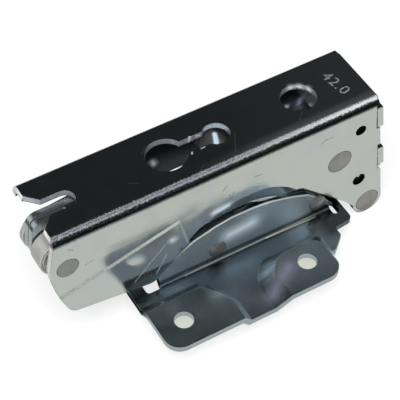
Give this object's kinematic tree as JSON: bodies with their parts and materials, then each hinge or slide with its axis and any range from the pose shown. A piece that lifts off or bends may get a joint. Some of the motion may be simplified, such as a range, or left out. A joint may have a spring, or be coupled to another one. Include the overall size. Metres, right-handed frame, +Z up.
{
  "type": "fridge door hinge",
  "caption": "Seven-joint concealed refrigerator door hinge: a folded steel channel carried on crossed levers over a two-hole screw flange bracket, with a spring closer inside.",
  "frame": {"origin": "midway between the two screw holes, on the flange bracket's mounting face", "axes": "+X along the channel towards the leaning end plate, +Y back from the screw flange across the channel, +Z up from the mounting face towards the channel's web"},
  "size_m": [0.1125, 0.0497, 0.0498],
  "materials": {
    "zinc_sheet": "bright blue-passivated zinc plating",
    "zinc_lever": "zinc plating, satin",
    "rivet_steel": "zinc plating over a turned rivet",
    "spring_steel": "drawn spring wire"
  },
  "bodies": {
    "bracket": {"flange_bracket": "zinc_sheet", "rear_stub_near": "rivet_steel", "rear_stub_far": "rivet_steel", "front_stub_near": "rivet_steel", "front_stub_far": "rivet_steel"},
    "main_lever": {"main_lever_near": "zinc_lever", "main_lever_far": "zinc_lever", "cross_pin": "rivet_steel", "cross_bush": "rivet_steel", "link_pin": "rivet_steel", "link_bush": "rivet_steel"},
    "carrier_lever": {"carrier_lever_near": "zinc_lever", "carrier_lever_far": "zinc_lever", "steering_pin": "rivet_steel", "steering_roller": "rivet_steel"},
    "steering_link": {"steering_link_near": "zinc_lever", "steering_link_far": "zinc_lever"},
    "door_link": {"door_link_near": "zinc_lever", "door_link_far": "zinc_lever"},
    "door": {"door_channel": "zinc_sheet", "upper_door_rivet": "rivet_steel", "lower_door_rivet": "rivet_steel", "closer_rivet": "rivet_steel", "upper_bush": "rivet_steel", "lower_bush": "rivet_steel", "upper_washer_near": "rivet_steel", "upper_washer_far": "rivet_steel", "lower_washer_near": "rivet_steel", "lower_washer_far": "rivet_steel", "closer_bush": "rivet_steel", "side_plate_near": "zinc_lever", "side_plate_far": "zinc_lever"},
    "closing_lever": {"closing_lever_near": "zinc_lever", "closing_lever_far": "zinc_lever", "closer_spring_near": "spring_steel", "closer_spring_far": "spring_steel", "spring_anchor": "rivet_steel"}
  },
  "joints": [
    {"name": "door_opening", "type": "hinge", "parent": "bracket", "child": "main_lever", "pos_m": [0.034, 0.02775, 0.007], "axis": [0, 1, 0], "range_deg": [0, 105]},
    {"name": "cross_pivot", "type": "hinge", "parent": "main_lever", "child": "carrier_lever", "pos_m": [0.019, 0.02775, 0.009], "axis": [0, 1, 0], "range_deg": [-105, 0]},
    {"name": "lower_door_pivot", "type": "hinge", "parent": "carrier_lever", "child": "door", "pos_m": [0.0531, 0.02775, -0.0032], "axis": [0, 1, 0], "range_deg": [0, 105]},
    {"name": "upper_door_pivot", "type": "hinge", "parent": "door", "child": "door_link", "pos_m": [0.041, 0.02775, 0.0215], "axis": [0, 1, 0], "range_deg": [-105, 0]},
    {"name": "rear_bracket_pivot", "type": "hinge", "parent": "bracket", "child": "steering_link", "pos_m": [-0.0006, 0.02775, 0.007], "axis": [0, 1, 0], "range_deg": [0, 105]},
    {"name": "closer_pivot", "type": "hinge", "parent": "door", "child": "closing_lever", "pos_m": [-0.0478, 0.02775, 0.0289], "axis": [0, 1, 0], "range_deg": [0, 12]}
  ],
  "couplings": [
    {"joint": "cross_pivot", "follows": "door_opening", "ratio": -1},
    {"joint": "lower_door_pivot", "follows": "door_opening", "ratio": 1},
    {"joint": "upper_door_pivot", "follows": "door_opening", "ratio": -1},
    {"joint": "rear_bracket_pivot", "follows": "door_opening", "ratio": 1},
    {"joint": "closer_pivot", "follows": "door_opening", "ratio": 0.114}
  ]
}
